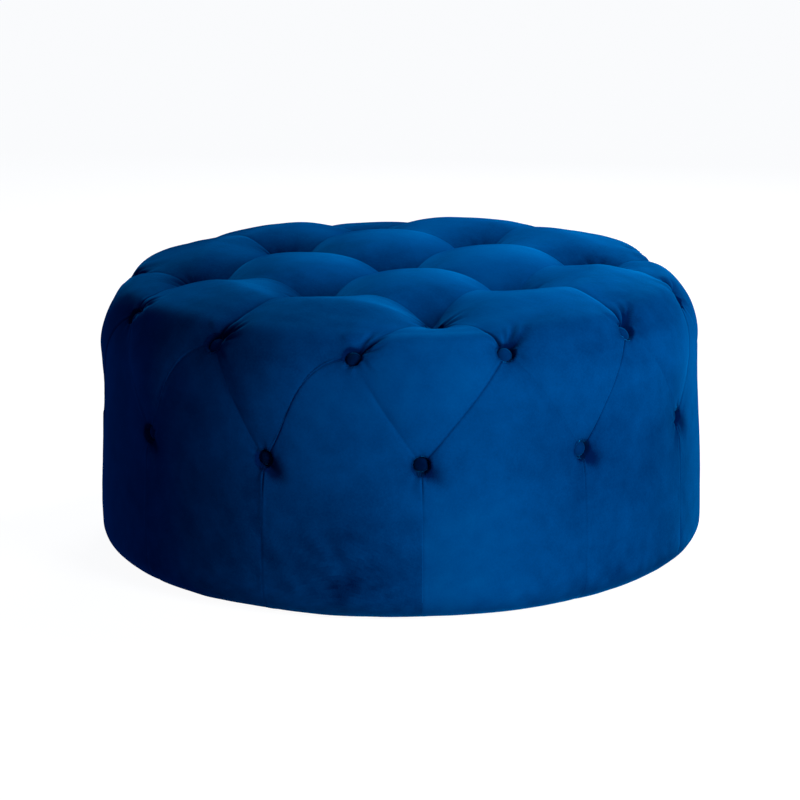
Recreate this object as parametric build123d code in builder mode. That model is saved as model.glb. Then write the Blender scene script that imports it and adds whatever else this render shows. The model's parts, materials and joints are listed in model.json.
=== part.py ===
from build123d import *
import os
from math import sin, cos, radians, degrees, sqrt, atan2

# Round button-tufted ottoman with a square lift-out hatch over a storage well.
# Millimetres, +Z up, origin on the floor under the centre. Hatch sides lie along X and Y.

# ---- overall -------------------------------------------------------------
R_OUT = 430.0          # widest radius, low on the side
R_SHOULDER = 424.0     # radius where the side turns over into the rim
H_TOP = 402.0          # crown of the pillows
Z_HEM = 5.0            # underside of the turned-in hem
Z_BELLY = 110.0        # the side starts to taper here
Z_SHOULDER = 285.0
RIM_X = 84.0           # the shoulder curve takes this much off the radius
R_CROWN = 66.0         # its upper arc; the lower arc is tangent to it and to the side
R_BOTTOM = 37.5        # bottom corner radius
T_COVER = 2.0          # velvet
T_PAD = 4.0            # wadding
R_HEM_IN = 345.0       # raw edge of the hem under the base

# ---- frame ---------------------------------------------------------------
Z_BASE, T_BASE = 7.0, 18.0
R_FRAME = 388.0
T_WALL = 4.0
Z_DECK, T_DECK = 285.0, 15.0
Z_DECK_TOP = Z_DECK + T_DECK
W_DECK = 165.0         # half width of the square opening in the deck
T_WELL = 12.0
POST, R_POST, N_POST, A_POST = 40.0, 360.0, 8, 18.5
T_LINER = 1.0

# ---- hatch ---------------------------------------------------------------
W_OPEN = 188.0         # half width of the opening between the rim pillows
W_LID = 186.0          # half width of the lid
Z_CREASE = 384.0       # the pillows part from here up
Z_LID = 302.4          # underside of the lid's hem
Z_LBOARD, T_LBOARD = 304.0, 12.0
W_LBOARD = 180.0
W_LHEM = 160.0
CLEAT_W, CLEAT_H, CLEAT_OUT = 16.0, 20.0, 163.0
W_FLANGE = 168.0       # cover turned in on the deck up to here

# ---- buttons -------------------------------------------------------------
R_BTN, H_BTN = 11.0, 8.0
R_SEAT = 14.0
N_RING = 12
A_SIDE = 11.0          # azimuth of the first button of the lower row
A_RIM = -3.5           # the rim row is half a step round
SIDE_TURN = {0: -0.9, 1: -1.6}        # two lower buttons sit a little off the even spacing
SIDE_R, SIDE_Z = 418.5, 222.0         # button faces, lower row
RIM_R, RIM_ZB, RIM_TILT = 394.2, 361.8, 40.0
TOP_XY, TOP_ZF = 204.0, 372.0
R_TIE, R_TIE_HOLE, R_KNOT = 1.0, 1.4, 3.5

# ---- small parts ---------------------------------------------------------
R_GLIDE, H_GLIDE, R_GLIDES, N_GLIDE = 22.0, 4.0, 300.0, 6
T_DUST, R_DUST = 1.0, 378.0
N_STAPLE, R_STAPLE = 24, 366.0

RIM_Z = H_TOP - Z_SHOULDER
R_LOW = (R_CROWN ** 2 - RIM_X ** 2 - (RIM_Z - R_CROWN) ** 2) / (2 * (R_CROWN - RIM_X))
A_JOIN = degrees(atan2(RIM_Z - R_CROWN, R_LOW - RIM_X))

os.makedirs("parts", exist_ok=True)
C = (Align.CENTER, Align.CENTER, Align.CENTER)
UP = (Align.CENTER, Align.CENTER, Align.MIN)
DOWN = (Align.CENTER, Align.CENTER, Align.MAX)


def ring_plane(r, z, azimuth, tilt):
    """Plane at a ring position whose normal points out of the surface."""
    a, t = radians(azimuth), radians(tilt)
    ux, uy = sin(a), -cos(a)
    return Plane(origin=(r * ux, r * uy, z), x_dir=(-uy, ux, 0),
                 z_dir=(cos(t) * ux, cos(t) * uy, sin(t)))


def seat_ring(r, z, azimuth0, tilt, turn):
    t = radians(tilt)
    return [ring_plane(r - H_BTN * cos(t), z - H_BTN * sin(t), azimuth0 + k * 360.0 / N_RING + turn.get(k, 0.0), tilt)
            for k in range(N_RING)]


side_seats = seat_ring(SIDE_R, SIDE_Z, A_SIDE, 0.0, SIDE_TURN)
rim_seats = seat_ring(RIM_R, RIM_ZB, A_RIM, RIM_TILT, {})
top_seats = [Plane(origin=(TOP_XY * i, TOP_XY * j, TOP_ZF - H_BTN))
             for i in (-1, 0, 1) for j in (-1, 0, 1) if i or j]
lid_seats = [Plane(origin=(0, 0, TOP_ZF - H_BTN))]


def in_from(plane, d):
    """The same plane moved d into the padding."""
    return Plane(origin=tuple(plane.origin - plane.z_dir * d), x_dir=tuple(plane.x_dir),
                 z_dir=tuple(plane.z_dir))


SLOPE_SIDE, SLOPE_TOP = 1.0, 0.7     # run of the dimple walls for each mm of depth


def dimple_radii(t, slope, depth):
    """Radii of a dimple's floor and mouth, moved t into the padding."""
    grow = t * (sqrt(1.0 + slope * slope) - slope)
    return R_SEAT + grow, R_SEAT + grow + slope * (depth + t)


def drum(t):
    """Padded drum, t inside the cover's outer face, with the hatch opening and the dimples."""
    with BuildPart() as b:
        with BuildSketch(Plane.XZ):
            with BuildLine():
                zb = Z_HEM + t
                Line((0, zb), (R_OUT - R_BOTTOM, zb))
                CenterArc((R_OUT - R_BOTTOM, Z_HEM + R_BOTTOM), R_BOTTOM - t, 270, 90)
                Line((R_OUT - t, Z_HEM + R_BOTTOM), (R_OUT - t, Z_BELLY))
                Line((R_OUT - t, Z_BELLY), (R_SHOULDER - t, Z_SHOULDER))
                CenterArc((R_SHOULDER - R_LOW, Z_SHOULDER), R_LOW - t, 0, A_JOIN)
                CenterArc((R_SHOULDER - RIM_X, H_TOP - R_CROWN), R_CROWN - t, A_JOIN, 90 - A_JOIN)
                Line((R_SHOULDER - RIM_X, H_TOP - t), (0, H_TOP - t))
                Line((0, H_TOP - t), (0, zb))
            make_face()
        revolve(axis=Axis.Z)
        zf = Z_DECK_TOP + (T_COVER if t == 0 else 0.0)
        zc = Z_CREASE - t * (sqrt(2.0) - 1.0)
        w = W_OPEN + t
        rise = H_TOP + 20.0 - zc
        with BuildSketch(Plane.XY.offset(zf)):
            Rectangle(2 * w, 2 * w)
        extrude(amount=zc - zf, mode=Mode.SUBTRACT)
        with BuildSketch(Plane.XY.offset(zc)):
            Rectangle(2 * w, 2 * w)
        with BuildSketch(Plane.XY.offset(zc + rise)):
            Rectangle(2 * (w + rise), 2 * (w + rise))
        loft(mode=Mode.SUBTRACT)
        for seats, slope, depth in ((side_seats, SLOPE_SIDE, 40.0), (rim_seats, SLOPE_SIDE, 40.0),
                                    (top_seats, SLOPE_TOP, 80.0)):
            a, m = dimple_radii(t, slope, depth)
            with Locations(*[in_from(p, t) for p in seats]):
                Cone(a, m, depth + t, align=UP, mode=Mode.SUBTRACT)
    return b.part


def pad(t, z0):
    """Square lid pad, t inside the cover's outer face, from z0 up, with its dimples."""
    with BuildPart() as b:
        zc = Z_CREASE - t * (sqrt(2.0) - 1.0)
        w = W_LID - t
        rise = H_TOP - t - zc
        with BuildSketch(Plane.XY.offset(z0)):
            Rectangle(2 * w, 2 * w)
        extrude(amount=zc - z0)
        with BuildSketch(Plane.XY.offset(zc)):
            Rectangle(2 * w, 2 * w)
        with BuildSketch(Plane.XY.offset(zc + rise)):
            Rectangle(2 * (w - rise), 2 * (w - rise))
        loft()
        a, m = dimple_radii(t, SLOPE_TOP, 80.0)
        with Locations(*[in_from(p, t) for p in top_seats + lid_seats]):
            Cone(a, m, 80.0 + t, align=UP, mode=Mode.SUBTRACT)
    return b.part


drum_skin, drum_pad, drum_foam = drum(0.0), drum(T_COVER), drum(T_COVER + T_PAD)
lid_skin = pad(0.0, Z_LID)
lid_pad = pad(T_COVER, Z_LBOARD)
lid_core = pad(T_COVER + T_PAD, Z_LBOARD)


def finish(builder, name):
    builder.part.label = name
    export_step(builder.part, "parts/" + name + ".step")


# ---- frame ---------------------------------------------------------------
post_planes = [ring_plane(R_POST, Z_BASE + T_BASE, A_POST + k * 360.0 / N_POST, 0.0) for k in range(N_POST)]
post_spots = [(R_POST * sin(radians(A_POST + k * 360.0 / N_POST)),
               -R_POST * cos(radians(A_POST + k * 360.0 / N_POST))) for k in range(N_POST)]
glide_spots = [(R_GLIDES * sin(radians(41.0 + k * 360.0 / N_GLIDE)),
                -R_GLIDES * cos(radians(41.0 + k * 360.0 / N_GLIDE))) for k in range(N_GLIDE)]
well_screw_spots = [(sx * (W_DECK + T_WELL / 2), y) for sx in (-1, 1) for y in (-100, 100)] + \
                   [(x, sy * (W_DECK + T_WELL / 2)) for sy in (-1, 1) for x in (-100, 100)]
R_SCREW, R_HEAD, H_HEAD = 2.25, 4.5, 2.5


def at(spots, z):
    return [(x, y, z) for x, y in spots]


with BuildPart() as base_board:
    with Locations((0, 0, Z_BASE)):
        Cylinder(R_FRAME, T_BASE, align=UP)
    with Locations(*at(post_spots, Z_BASE)):
        Cylinder(R_SCREW + 0.05, T_BASE, align=UP, mode=Mode.SUBTRACT)
        Cone(R_HEAD + 0.05, R_SCREW + 0.05, H_HEAD, align=UP, mode=Mode.SUBTRACT)
    with Locations(*at(glide_spots, Z_BASE)):
        Cylinder(R_SCREW - 0.2, 14.0, align=UP, mode=Mode.SUBTRACT)
finish(base_board, "base_board")

with BuildPart() as deck_ring:
    with BuildSketch(Plane.XY.offset(Z_DECK)):
        Circle(R_FRAME)
        Rectangle(2 * W_DECK, 2 * W_DECK, mode=Mode.SUBTRACT)
    extrude(amount=T_DECK)
    with Locations(*at(post_spots + well_screw_spots, Z_DECK_TOP)):
        Cylinder(R_SCREW + 0.05, T_DECK, align=DOWN, mode=Mode.SUBTRACT)
        Cone(R_SCREW + 0.05, R_HEAD + 0.05, H_HEAD, align=DOWN, mode=Mode.SUBTRACT)
    with Locations(*(rim_seats)):
        Cylinder(R_TIE_HOLE, 130.0, align=DOWN, mode=Mode.SUBTRACT)
    with Locations(*(top_seats)):
        Cylinder(R_TIE_HOLE, 95.0, align=DOWN, mode=Mode.SUBTRACT)
finish(deck_ring, "deck_ring")

posts = []
for k in range(N_POST):
    with BuildPart() as post:
        with Locations(Location((post_spots[k][0], post_spots[k][1], Z_BASE + T_BASE),
                                (0, 0, A_POST + k * 360.0 / N_POST))):
            Box(POST, POST, Z_DECK - Z_BASE - T_BASE, align=UP)
        chamfer(post.part.edges().filter_by(Axis.Z), length=2.0)
        with Locations((post_spots[k][0], post_spots[k][1], Z_BASE + T_BASE)):
            Cylinder(R_SCREW + 0.05, 27.0, align=UP, mode=Mode.SUBTRACT)
        with Locations((post_spots[k][0], post_spots[k][1], Z_DECK)):
            Cylinder(R_SCREW + 0.05, 30.0, align=DOWN, mode=Mode.SUBTRACT)
    finish(post, "post_%d" % (k + 1))
    posts.append(post)

for name, sx, sy in (("well_wall_front", 0, -1), ("well_wall_back", 0, 1),
                     ("well_wall_left", -1, 0), ("well_wall_right", 1, 0)):
    with BuildPart() as well_wall:
        off = W_DECK + T_WELL / 2
        size = (2 * (W_DECK + T_WELL), T_WELL) if sx == 0 else (T_WELL, 2 * W_DECK)
        with Locations((sx * off, sy * off, Z_BASE + T_BASE)):
            Box(size[0], size[1], Z_DECK - Z_BASE - T_BASE, align=UP)
        for s in (-1, 1):
            spot = (s * 100, sy * off, Z_DECK) if sx == 0 else (sx * off, s * 100, Z_DECK)
            with Locations(spot):
                Cylinder(R_SCREW + 0.05, 26.0, align=DOWN, mode=Mode.SUBTRACT)
    finish(well_wall, name)

with BuildPart() as well_liner:
    z0 = Z_BASE + T_BASE
    with Locations((0, 0, z0)):
        Box(2 * W_DECK, 2 * W_DECK, Z_DECK_TOP - 1.0 - z0, align=UP)
    with Locations((0, 0, z0 + T_LINER)):
        Box(2 * (W_DECK - T_LINER), 2 * (W_DECK - T_LINER), Z_DECK_TOP, align=UP, mode=Mode.SUBTRACT)
finish(well_liner, "well_liner")

with BuildPart() as wall_panel:
    with BuildSketch(Plane.XY.offset(Z_BASE)):
        Circle(R_FRAME + T_WALL)
        Circle(R_FRAME, mode=Mode.SUBTRACT)
    extrude(amount=Z_DECK_TOP - Z_BASE)
    with Locations(Location((0, 0, Z_BASE), (0, 0, 153.5))):
        with Locations((R_FRAME + T_WALL / 2, 0, 0)):
            Box(20.0, 0.8, 400.0, align=UP, mode=Mode.SUBTRACT)
    with Locations(*side_seats):
        Cylinder(R_TIE_HOLE, 40.0, align=DOWN, mode=Mode.SUBTRACT)
finish(wall_panel, "wall_panel")

# ---- padding and cover of the base ---------------------------------------
for k in range(4):
    mid = 90.0 * k
    wedge = [(0.0, 0.0)] + [(900.0 * cos(radians(mid + s)), 900.0 * sin(radians(mid + s))) for s in (-45, 45)]
    with BuildPart() as side_foam:
        with BuildSketch(Plane.XY.offset(Z_HEM)):
            Polygon(*wedge, align=None)
        extrude(amount=Z_DECK_TOP - Z_HEM)
        add(drum_foam, mode=Mode.INTERSECT)
        with Locations((0, 0, 0)):
            Cylinder(R_FRAME + T_WALL, 500.0, align=UP, mode=Mode.SUBTRACT)
        with Locations(*side_seats):
            Cylinder(R_TIE_HOLE, 40.0, align=DOWN, mode=Mode.SUBTRACT)
    finish(side_foam, "side_foam_%d" % (k + 1))
    with BuildPart() as rim_foam:
        with BuildSketch(Plane.XY.offset(Z_DECK_TOP)):
            Polygon(*wedge, align=None)
        extrude(amount=H_TOP)
        add(drum_foam, mode=Mode.INTERSECT)
        with Locations(*rim_seats):
            Cylinder(R_TIE_HOLE, 130.0, align=DOWN, mode=Mode.SUBTRACT)
        with Locations(*top_seats):
            Cylinder(R_TIE_HOLE, 95.0, align=DOWN, mode=Mode.SUBTRACT)
    finish(rim_foam, "rim_foam_%d" % (k + 1))

with BuildPart() as base_wadding:
    add(drum_pad)
    add(drum_foam, mode=Mode.SUBTRACT)
    with Locations((0, 0, 0)):
        Cylinder(R_FRAME + T_WALL, Z_DECK_TOP, align=UP, mode=Mode.SUBTRACT)
    with Locations(*side_seats):
        Cylinder(R_TIE_HOLE, 40.0, align=DOWN, mode=Mode.SUBTRACT)
    with Locations(*rim_seats):
        Cylinder(R_TIE_HOLE, 30.0, align=DOWN, mode=Mode.SUBTRACT)
    with Locations(*top_seats):
        Cylinder(R_TIE_HOLE, 30.0, align=DOWN, mode=Mode.SUBTRACT)
finish(base_wadding, "base_wadding")

with BuildPart() as base_cover:
    add(drum_skin)
    add(drum_pad, mode=Mode.SUBTRACT)
    with Locations((0, 0, Z_HEM - 2)):
        Cylinder(R_HEM_IN, 6.0, align=UP, mode=Mode.SUBTRACT)
    with Locations((0, 0, Z_DECK_TOP - 2)):
        Box(2 * W_FLANGE, 2 * W_FLANGE, 6.0, align=UP, mode=Mode.SUBTRACT)
    with Locations(*side_seats):
        Cylinder(R_TIE_HOLE, 40.0, align=DOWN, mode=Mode.SUBTRACT)
    with Locations(*rim_seats):
        Cylinder(R_TIE_HOLE, 30.0, align=DOWN, mode=Mode.SUBTRACT)
    with Locations(*top_seats):
        Cylinder(R_TIE_HOLE, 30.0, align=DOWN, mode=Mode.SUBTRACT)
finish(base_cover, "base_cover")


# ---- buttons and ties ----------------------------------------------------
DOME = ((R_BTN - 1.6) ** 2 + (H_BTN - 5.0) ** 2) / (2 * (H_BTN - 5.0))   # dome centred on the button's axis
with BuildPart() as button_blank:
    with BuildSketch(Plane.XZ):
        with BuildLine():
            Line((0, 0), (R_BTN - 2.0, 0))
            ThreePointArc((R_BTN - 2.0, 0), (R_BTN, 2.4), (R_BTN - 1.6, 5.0))
            RadiusArc((R_BTN - 1.6, 5.0), (0, H_BTN), -DOME)
            Line((0, H_BTN), (0, 0))
        make_face()
    revolve(axis=Axis.Z)


def tie_blank(length):
    with BuildPart() as b:
        Cylinder(R_TIE, length, align=DOWN)
        with Locations((0, 0, -length)):
            Sphere(R_KNOT)
    return b.part


side_tie = tie_blank(SIDE_R - H_BTN - R_FRAME + R_KNOT + 0.4)
rim_tie = tie_blank((RIM_ZB - H_BTN * sin(radians(RIM_TILT)) - Z_DECK) / sin(radians(RIM_TILT)) + 6.0)
top_tie = tie_blank(TOP_ZF - H_BTN - Z_DECK + R_KNOT + 0.4)
lid_tie = tie_blank(TOP_ZF - H_BTN - Z_LBOARD + R_KNOT + 0.4)

for name, seats, blank in (("side_buttons", side_seats, button_blank.part), ("rim_buttons", rim_seats, button_blank.part),
                           ("top_buttons", top_seats, button_blank.part), ("lid_button", lid_seats, button_blank.part),
                           ("side_button_ties", side_seats, side_tie), ("rim_button_ties", rim_seats, rim_tie),
                           ("top_button_ties", top_seats, top_tie), ("lid_button_tie", lid_seats, lid_tie)):
    with BuildPart() as group:
        with Locations(*seats):
            add(blank)
    finish(group, name)

# ---- underside -----------------------------------------------------------
with BuildPart() as dust_cover:
    with Locations((0, 0, Z_HEM - T_DUST)):
        Cylinder(R_DUST, T_DUST, align=UP)
    with Locations(*at(glide_spots, Z_HEM - T_DUST)):
        Cylinder(R_SCREW + 0.3, T_DUST, align=UP, mode=Mode.SUBTRACT)
finish(dust_cover, "dust_cover")

with BuildPart() as glides:
    with BuildSketch(Plane.XZ) as glide_profile:
        with BuildLine():
            Polyline((R_SCREW + 0.1, 2.2), (6.0, 2.2), (6.0, 0.0), (R_GLIDE - 2.0, 0.0), (R_GLIDE, 2.0),
                     (R_GLIDE, H_GLIDE), (R_SCREW + 0.1, H_GLIDE), close=True)
        make_face()
    revolve(axis=Axis.Z)
with BuildPart() as glide_group:
    with Locations(*at(glide_spots, 0.0)):
        add(glides.part)
finish(glide_group, "glides")


def screw(head_at_top, length, r=R_SCREW):
    with BuildPart() as b:
        if head_at_top:
            Cone(r, R_HEAD, H_HEAD, align=DOWN)
            with Locations((0, 0, -H_HEAD)):
                Cylinder(r, length - H_HEAD - 3.0, align=DOWN)
            with Locations((0, 0, -length + 3.0)):
                Cone(0.5, r, 3.0, align=DOWN)
        else:
            Cone(R_HEAD, r, H_HEAD, align=UP)
            with Locations((0, 0, H_HEAD)):
                Cylinder(r, length - H_HEAD - 3.0, align=UP)
            with Locations((0, 0, length - 3.0)):
                Cone(r, 0.5, 3.0, align=UP)
    return b.part


with BuildPart() as glide_screw:
    with Locations((0, 0, 0.7)):
        Cylinder(4.5, 1.5, align=UP)
    with Locations((0, 0, 2.2)):
        Cylinder(R_SCREW - 0.25, 15.3, align=UP)
    with Locations((0, 0, 17.5)):
        Cone(R_SCREW - 0.25, 0.5, 3.0, align=UP)

cleat_mid = CLEAT_OUT - CLEAT_W / 2
cleat_screw_spots = [(s * 100.0, t * cleat_mid) for s in (-1, 1) for t in (-1, 1)] + \
                    [(t * cleat_mid, s * 100.0) for s in (-1, 1) for t in (-1, 1)]
Z_CLEAT = Z_LBOARD - CLEAT_H

for name, spots, z, blank in (("glide_screws", glide_spots, 0.0, glide_screw.part),
                              ("base_screws", post_spots, Z_BASE, screw(False, 42.0)),
                              ("deck_screws", post_spots, Z_DECK_TOP, screw(True, 42.0)),
                              ("well_screws", well_screw_spots, Z_DECK_TOP, screw(True, 38.0)),
                              ("lid_cleat_screws", cleat_screw_spots, Z_CLEAT, screw(False, 29.0))):
    with BuildPart() as group:
        with Locations(*at(spots, z)):
            add(blank)
    finish(group, name)


def staple(leg):
    with BuildPart() as b:
        with Locations((0, 0, -0.6)):
            Box(10.0, 1.2, 0.6, align=UP)
        for s in (-1, 1):
            with Locations((s * 4.7, 0, -0.6)):
                Box(0.6, 1.2, leg, align=UP)
    return b.part


with BuildPart() as dust_cover_staples:
    blank = staple(10.0)
    for k in range(N_STAPLE):
        a = 5.0 + k * 360.0 / N_STAPLE
        with Locations(Location((R_STAPLE * sin(radians(a)), -R_STAPLE * cos(radians(a)), Z_HEM - T_DUST), (0, 0, a))):
            add(blank)
finish(dust_cover_staples, "dust_cover_staples")

# ---- lid -----------------------------------------------------------------
with BuildPart() as lid_board:
    with Locations((0, 0, Z_LBOARD)):
        Box(2 * W_LBOARD, 2 * W_LBOARD, T_LBOARD, align=UP)
    with Locations(*at(cleat_screw_spots, Z_LBOARD)):
        Cylinder(R_SCREW + 0.05, 9.5, align=UP, mode=Mode.SUBTRACT)
    with Locations(*lid_seats):
        Cylinder(R_TIE_HOLE, 75.0, align=DOWN, mode=Mode.SUBTRACT)
finish(lid_board, "lid_board")

for name, sx, sy in (("lid_cleat_front", 0, -1), ("lid_cleat_back", 0, 1),
                     ("lid_cleat_left", -1, 0), ("lid_cleat_right", 1, 0)):
    with BuildPart() as cleat:
        size = (2 * CLEAT_OUT, CLEAT_W) if sx == 0 else (CLEAT_W, 2 * (CLEAT_OUT - CLEAT_W))
        with Locations((sx * cleat_mid, sy * cleat_mid, Z_CLEAT)):
            Box(size[0], size[1], CLEAT_H, align=UP)
        for s in (-1, 1):
            spot = (s * 100.0, sy * cleat_mid, Z_CLEAT) if sx == 0 else (sx * cleat_mid, s * 100.0, Z_CLEAT)
            with Locations(spot):
                Cylinder(R_SCREW + 0.05, CLEAT_H, align=UP, mode=Mode.SUBTRACT)
                Cone(R_HEAD + 0.05, R_SCREW + 0.05, H_HEAD, align=UP, mode=Mode.SUBTRACT)
    finish(cleat, name)

with BuildPart() as lid_foam:
    add(lid_core)
    with Locations((0, 0, Z_LBOARD - 10)):
        Box(900.0, 900.0, T_LBOARD + 10.0, align=UP, mode=Mode.SUBTRACT)
    with Locations(*lid_seats):
        Cylinder(R_TIE_HOLE, 75.0, align=DOWN, mode=Mode.SUBTRACT)
finish(lid_foam, "lid_foam")

with BuildPart() as lid_wadding:
    add(lid_pad)
    add(lid_core, mode=Mode.SUBTRACT)
    with Locations(*lid_seats):
        Cylinder(R_TIE_HOLE, 30.0, align=DOWN, mode=Mode.SUBTRACT)
finish(lid_wadding, "lid_wadding")

with BuildPart() as lid_cover:
    add(lid_skin)
    add(lid_pad, mode=Mode.SUBTRACT)
    with Locations((0, 0, Z_LID - 2)):
        Box(2 * W_LHEM + 8.0, 2 * W_LHEM + 8.0, Z_LBOARD - Z_LID + 2.0, align=UP, mode=Mode.SUBTRACT)
    with Locations(*lid_seats):
        Cylinder(R_TIE_HOLE, 30.0, align=DOWN, mode=Mode.SUBTRACT)
finish(lid_cover, "lid_cover")

with BuildPart() as lid_backing:
    w = CLEAT_OUT - CLEAT_W - 1.0
    with Locations((0, 0, Z_LBOARD - 1.2)):
        Box(2 * w, 2 * w, 1.2, align=UP)
        Cylinder(R_KNOT + 1.5, 1.2, align=UP, mode=Mode.SUBTRACT)
finish(lid_backing, "lid_backing")

with BuildPart() as lid_staples:
    blank = staple(9.0)
    for s in (-1, 1):
        for u in (-135.0, -90.0, -45.0, 0.0, 45.0, 90.0, 135.0):
            with Locations(Location((u, s * 141.0, Z_LBOARD - 1.2), (0, 0, 0))):
                add(blank)
            if abs(u) < 130.0:
                with Locations(Location((s * 141.0, u, Z_LBOARD - 1.2), (0, 0, 90))):
                    add(blank)
finish(lid_staples, "lid_staples")

TAB_X, TAB_W, TAB_T = -20.0, 24.0, 1.2
with BuildPart() as lid_pull_tab:
    with Locations((TAB_X, W_LID + TAB_T / 2, Z_LBOARD + 4.0)):
        Box(TAB_W, TAB_T, 76.0, align=UP)
    with Locations(Location((TAB_X, W_LID + TAB_T / 2, Z_LBOARD + 80.0), (0, 90, 0))):
        Cylinder(TAB_T / 2, TAB_W, align=C)
finish(lid_pull_tab, "lid_pull_tab")
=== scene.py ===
import bpy, bmesh, json, math
import numpy as np
from mathutils import Vector, Matrix, Quaternion


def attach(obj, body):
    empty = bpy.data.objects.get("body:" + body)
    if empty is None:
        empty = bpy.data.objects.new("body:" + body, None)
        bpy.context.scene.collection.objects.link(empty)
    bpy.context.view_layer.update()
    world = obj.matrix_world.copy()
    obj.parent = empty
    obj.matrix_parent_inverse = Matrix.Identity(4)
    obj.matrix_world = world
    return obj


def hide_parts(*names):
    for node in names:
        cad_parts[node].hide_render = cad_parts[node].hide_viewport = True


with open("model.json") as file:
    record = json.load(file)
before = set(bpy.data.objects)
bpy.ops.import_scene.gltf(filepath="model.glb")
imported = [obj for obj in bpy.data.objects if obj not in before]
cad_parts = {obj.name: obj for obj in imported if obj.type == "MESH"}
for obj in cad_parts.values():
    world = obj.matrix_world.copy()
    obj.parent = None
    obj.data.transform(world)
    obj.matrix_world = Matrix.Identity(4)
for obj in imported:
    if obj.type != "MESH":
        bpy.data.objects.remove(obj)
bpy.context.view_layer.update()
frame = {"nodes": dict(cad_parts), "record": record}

MM = 0.001
rng = np.random.default_rng(7)
scene = bpy.context.scene

# ------------------------------------------------------------------ sizes, mm
R_OUT, R_SHOULDER, H_TOP, Z_HEM = 430.0, 424.0, 402.0, 5.0
Z_BELLY, Z_SHOULDER, RIM_X, R_CROWN, R_BOTTOM = 110.0, 285.0, 84.0, 66.0, 37.5
RIM_Z = H_TOP - Z_SHOULDER
R_LOW = (R_CROWN ** 2 - RIM_X ** 2 - (RIM_Z - R_CROWN) ** 2) / (2 * (R_CROWN - RIM_X))
A_JOIN = math.atan2(RIM_Z - R_CROWN, R_LOW - RIM_X)
R_FRAME_OUT, Z_DECK_TOP, Z_BASE, T_BASE = 392.0, 300.0, 7.0, 18.0
W_OPEN, W_LID, W_FLANGE = 188.0, 186.0, 168.0
CAM_AZ = math.radians(35.7)              # the side that the picture is taken from
W_OPEN_TOP, W_LID_TOP = 187.4, 187.0   # the pillows press together at the seam
Z_LID, Z_LBOARD, T_LBOARD, W_LBOARD, W_LHEM = 302.4, 304.0, 12.0, 180.0, 164.0
R_HEM_IN = 345.0
A_SIDE, A_RIM = 11.0, -3.5
SIDE_TURN = {0: -0.9, 1: -1.6}
SIDE_R, SIDE_Z, RIM_R, RIM_ZB, RIM_TILT = 418.5, 222.0, 394.2, 361.8, 40.0
TOP_XY, TOP_ZF, H_BTN, R_BTN = 204.0, 372.0, 8.0, 11.0
DOME_IN, DOME_OUT = 16.5, -5.0   # the top is crowned: middle and rim against the frame's height
TAB_X, TAB_W = -20.0, 24.0
NSEG = 64              # mesh segments along one pleat

# ------------------------------------------------------------------ outer form
S0 = R_SHOULDER - RIM_X
S1 = S0 + R_CROWN * (math.pi / 2 - A_JOIN)
S2 = S1 + R_LOW * A_JOIN
LEN3 = math.hypot(R_OUT - R_SHOULDER, Z_SHOULDER - Z_BELLY)
S3 = S2 + LEN3
S4 = S3 + (Z_BELLY - Z_HEM - R_BOTTOM)
S5 = S4 + R_BOTTOM * math.pi / 2
S6 = S5 + (R_OUT - R_BOTTOM - R_HEM_IN)


def profile(s):
    """Radius, height and outward normal of the round form, s mm from the middle of the top."""
    s = np.asarray(s, float)
    a1 = math.pi / 2 - (s - S0) / R_CROWN
    a2 = A_JOIN - (s - S1) / R_LOW
    a3 = -(s - S4) / R_BOTTOM
    t3 = (s - S2) / LEN3
    cond = [s <= S0, s <= S1, s <= S2, s <= S3, s <= S4, s <= S5]
    n3 = ((Z_SHOULDER - Z_BELLY) / LEN3, (R_OUT - R_SHOULDER) / LEN3)
    r = np.select(cond, [s, S0 + R_CROWN * np.cos(a1), R_SHOULDER - R_LOW + R_LOW * np.cos(a2),
                         R_SHOULDER + (R_OUT - R_SHOULDER) * t3, np.full_like(s, R_OUT),
                         R_OUT - R_BOTTOM + R_BOTTOM * np.cos(a3)], R_OUT - R_BOTTOM - (s - S5))
    z = np.select(cond, [H_TOP + 0 * s, H_TOP - R_CROWN + R_CROWN * np.sin(a1), Z_SHOULDER + R_LOW * np.sin(a2),
                         Z_SHOULDER + (Z_BELLY - Z_SHOULDER) * t3, Z_BELLY - (s - S3),
                         Z_HEM + R_BOTTOM + R_BOTTOM * np.sin(a3)], Z_HEM) + crown(s)
    nr = np.select(cond, [0 * s, np.cos(a1), np.cos(a2), n3[0] + 0 * s, 1 + 0 * s, np.cos(a3)], 0.0)
    nz = np.select(cond, [1 + 0 * s, np.sin(a1), np.sin(a2), n3[1] + 0 * s, 0 * s, np.sin(a3)], -1.0)
    return r, z, nr, nz


def crown(s):
    def step(a, b):
        t = np.clip((s - a) / (b - a), 0, 1)
        return t * t * (3 - 2 * t)
    return DOME_IN + (DOME_OUT - DOME_IN) * step(276.0, 366.0) - DOME_OUT * step(358.0, 396.0)


def on_form(xy, d=0.0):
    """Points of the form from the plan map (distance over the surface, azimuth), pushed d mm out."""
    s = np.hypot(xy[:, 0], xy[:, 1])
    q = np.maximum(s, 1e-9)
    ux, uy = xy[:, 0] / q, xy[:, 1] / q
    r, z, nr, nz = profile(s)
    rr = r + d * nr
    return np.stack([rr * ux, rr * uy, z + d * nz], 1)


def plan(az, s):
    a = np.radians(az)
    return np.stack([s * np.sin(a), -s * np.cos(a)], -1)


S_RIM = S1 + R_LOW * (A_JOIN - math.atan2(RIM_ZB - Z_SHOULDER, RIM_R - (R_SHOULDER - R_LOW)))
S_SIDE = S2 + (Z_SHOULDER - SIDE_Z) / (Z_SHOULDER - Z_BELLY) * LEN3


def spaced(n):
    k = np.arange(n + 1) / n
    return 0.55 * (1 - np.cos(np.pi * k)) / 2 + 0.45 * k


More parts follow.
